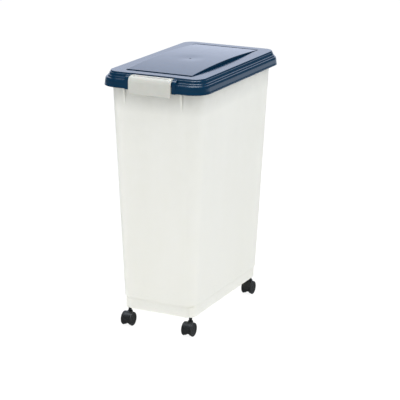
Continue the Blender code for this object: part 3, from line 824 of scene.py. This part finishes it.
def caster(corner):
    """A twin-wheel caster: hood, stem and axle on its swivel, a socket in the bin and two wheels."""
    swivel, prefix = f"{corner}_swivel", f"caster_{corner}"
    x, y, _ = JOINTS[f"{corner}_swivel_turn"]
    _, axle_y, axle_z = JOINTS[f"{corner}_wheel_left_spin"]
    axle_at = (x, axle_y, axle_z)

    hood = caster_hood(f"{corner}_hood_shell", x, y, axle_y, axle_z)
    finish_piece(hood, BLACK, swivel, f"{prefix}_hood")
    stem = [(0, 65.0), (2.6, 65.0), (3.4, 64.4), (3.9, 63.4), (4.0, 62.6), (4.0, 44.0), (3.85, 43.7),
            (3.85, 42.6), (4.0, 42.3), (4.0, 32.6), (3.8, 32.4), (3.0, 32.4), (3.0, 24.4), (2.7, 24.0),
            (0, 24.0)]
    turned_stem = lathe(f"{corner}_stem_turned", stem, 40, at=(x, y, 0))
    finish_piece(turned_stem, BLACK, swivel, f"{prefix}_stem")
    axle = [(0, 11.3), (1.6, 11.3), (2.0, 10.9), (2.0, -10.9), (1.6, -11.3), (0, -11.3)]
    turned_axle = lathe(f"{corner}_axle_turned", axle, 32, "X", 1, axle_at)
    finish_piece(turned_axle, ZINC, swivel, f"{prefix}_axle")
    socket = [(5.7, 66.0), (5.7, 46.2), (5.5, 45.6), (4.6, 45.6), (4.3, 46.0), (4.3, 66.0)]
    turned_socket = lathe(f"{corner}_socket_turned", socket, 40, at=(x, y, 0), closed=True)
    finish_piece(turned_socket, BLACK, "bin", f"{prefix}_socket")
    for name, side in SIDES:
        at = (x + side * WHEEL_INNER_X, axle_y, axle_z)
        wheel = lathe(f"{corner}_wheel_{name}_turned", wheel_profile(), 72, "X", side, at)
        finish_piece(wheel, WHEEL, f"{corner}_wheel_{name}", f"{prefix}_wheel_{name}")


bin_body()
lid()
lid_seal()
latch()
hinge_pins()
for corner in CORNERS:
    caster(corner)


# Studio, in metres --------------------------------------------------------------------------------------

CAMERA_AZIMUTH, CAMERA_ELEVATION, CAMERA_ROLL = 25.83, 16.09, 0.50      # degrees
CAMERA_DISTANCE, CAMERA_LENS, CAMERA_SENSOR = 4.02, 147.14, 36.0        # the last two in millimetres
CAMERA_AIM_Z, CAMERA_AIM_RIGHT, CAMERA_AIM_UP = 0.2975, 0.0186, -0.0162

FLOOR_SIZE = 30.0
FLOOR_BASE = (0.14, 0.14, 0.14)
FLOOR_SEEN = (0.93, 0.93, 0.93)
FLOOR_BOUNCE = (0.98, 0.98, 0.93)
FLOOR_DIM = (0.06, 0.09, 0.12)
FLOOR_FAR = (0.66, 0.74, 0.86)

WORLD_SEEN = (1.0, 1.0, 1.0)
BACKDROP_AIM = (-0.42, 0.89, 0.17)
BACKDROP = (1.10, 1.19, 1.44)
ROOM_DIM = (0.06, 0.10, 0.14)
OVERHEAD_BANK = (11.0, 12.0, 13.0)
AMBIENT_FRONT = (0.48, 0.48, 0.47)
AMBIENT_BACK = (0.70, 0.72, 0.75)

# Name, place, aim, width and height, and power in watts
SOFTBOXES = (
    ("key", (-1.5, -2.4, 1.7), (0, 0, 0.35), (1.8, 1.8), 11.6),
    ("top", (-0.2, -0.9, 2.4), (0, -0.1, 0.5), (1.2, 1.2), 27.0),
    ("low", (-0.15, -1.1, 0.12), (0, -0.2, 0.15), (0.9, 0.2), 1.0),
    ("fill", (2.8, 0.1, 1.9), (0, 0, 0.35), (1.6, 2.0), 41.0),
)


def camera():
    """A long lens at a low three-quarter view of the latch side."""
    azimuth, elevation = math.radians(CAMERA_AZIMUTH), math.radians(CAMERA_ELEVATION)
    back = Vector((math.sin(azimuth) * math.cos(elevation), -math.cos(azimuth) * math.cos(elevation),
                   math.sin(elevation)))
    right = Vector((math.cos(azimuth), math.sin(azimuth), 0.0))
    up = back.cross(right)
    aim = Vector((0, 0, CAMERA_AIM_Z)) + right * CAMERA_AIM_RIGHT + up * CAMERA_AIM_UP
    eye = aim + back * CAMERA_DISTANCE
    cos_roll, sin_roll = math.cos(math.radians(CAMERA_ROLL)), math.sin(math.radians(CAMERA_ROLL))
    right, up = right * cos_roll + up * sin_roll, up * cos_roll - right * sin_roll

    data = bpy.data.cameras.new("camera")
    data.lens, data.sensor_width = CAMERA_LENS, CAMERA_SENSOR
    data.clip_start, data.clip_end = 0.05, 100.0
    obj = bpy.data.objects.new("camera", data)
    bpy.context.scene.collection.objects.link(obj)
    obj.matrix_world = Matrix((
        (right.x, up.x, back.x, eye.x), (right.y, up.y, back.y, eye.y), (right.z, up.z, back.z, eye.z),
        (0, 0, 0, 1)))
    bpy.context.scene.camera = obj


def ray_kinds(tree):
    """Whether a ray comes straight from the camera, and whether it is a reflection."""
    path = tree.tree.nodes.new("ShaderNodeLightPath")
    return path.outputs["Is Camera Ray"], path.outputs["Is Glossy Ray"]


def floor():
    """The floor. The camera sees it almost white; reflections see it bright behind the bin, dim in front."""
    bm = bmesh.new()
    bmesh.ops.create_grid(bm, x_segments=1, y_segments=1, size=FLOOR_SIZE)
    obj = new_object("floor", bm)
    mat = bpy.data.materials.new("floor")
    mat.use_nodes = True
    tree = Tree(mat.node_tree)
    shader = mat.node_tree.nodes["Principled BSDF"]
    shader.inputs["Base Color"].default_value = (*FLOOR_BASE, 1.0)
    shader.inputs["Roughness"].default_value = 1.0
    shader.inputs["Specular IOR Level"].default_value = 0.0
    shader.inputs["Emission Strength"].default_value = 1.0
    from_camera, reflection = ray_kinds(tree)
    behind = tree.span(tree.split(tree.coords["Object"])["Y"], 1.4, 3.3, easing="SMOOTHSTEP")
    unseen = tree.blend(reflection, FLOOR_BOUNCE, tree.blend(behind, FLOOR_DIM, FLOOR_FAR))
    tree.link(tree.blend(from_camera, unseen, FLOOR_SEEN), shader.inputs["Emission Color"])
    obj.data.materials.append(mat)


def world():
    """A white studio. Reflections see a cool backdrop, a light bank overhead and a dim room in front."""
    studio = bpy.data.worlds.new("studio")
    studio.use_nodes = True
    tree = Tree(studio.node_tree)
    direction = tree.split(tree.coords["Generated"])
    towards_backdrop = tree.tree.nodes.new("ShaderNodeVectorMath")
    towards_backdrop.operation = "DOT_PRODUCT"
    tree.link(tree.coords["Generated"], towards_backdrop.inputs[0])
    towards_backdrop.inputs[1].default_value = BACKDROP_AIM
    from_camera, reflection = ray_kinds(tree)
    behind = tree.span(direction["Y"], -0.15, 0.7, easing="SMOOTHSTEP")
    screen = tree.span(towards_backdrop.outputs["Value"], 0.66, 0.93, easing="SMOOTHSTEP")
    overhead = tree.span(direction["Z"], 0.84, 0.97, easing="SMOOTHSTEP")
    reflected = tree.blend(overhead, tree.blend(screen, ROOM_DIM, BACKDROP), OVERHEAD_BANK)
    ambient = tree.blend(behind, AMBIENT_FRONT, AMBIENT_BACK)
    colour = tree.blend(from_camera, tree.blend(reflection, ambient, reflected), WORLD_SEEN)
    tree.link(colour, studio.node_tree.nodes["Background"].inputs["Color"])
    bpy.context.scene.world = studio


def softbox(name, place, aim, size, power):
    """A soft light that reflections don't see."""
    data = bpy.data.lights.new(name, "AREA")
    data.shape, data.size, data.size_y = "RECTANGLE", size[0], size[1]
    data.energy = power
    obj = bpy.data.objects.new(name, data)
    obj.location = place
    obj.rotation_mode = "QUATERNION"
    obj.rotation_quaternion = (Vector(place) - Vector(aim)).to_track_quat("Z", "Y")
    obj.visible_glossy = False
    bpy.context.scene.collection.objects.link(obj)


camera()
floor()
world()
for row in SOFTBOXES:
    softbox(*row)
bpy.context.scene.view_settings.view_transform = "Standard"
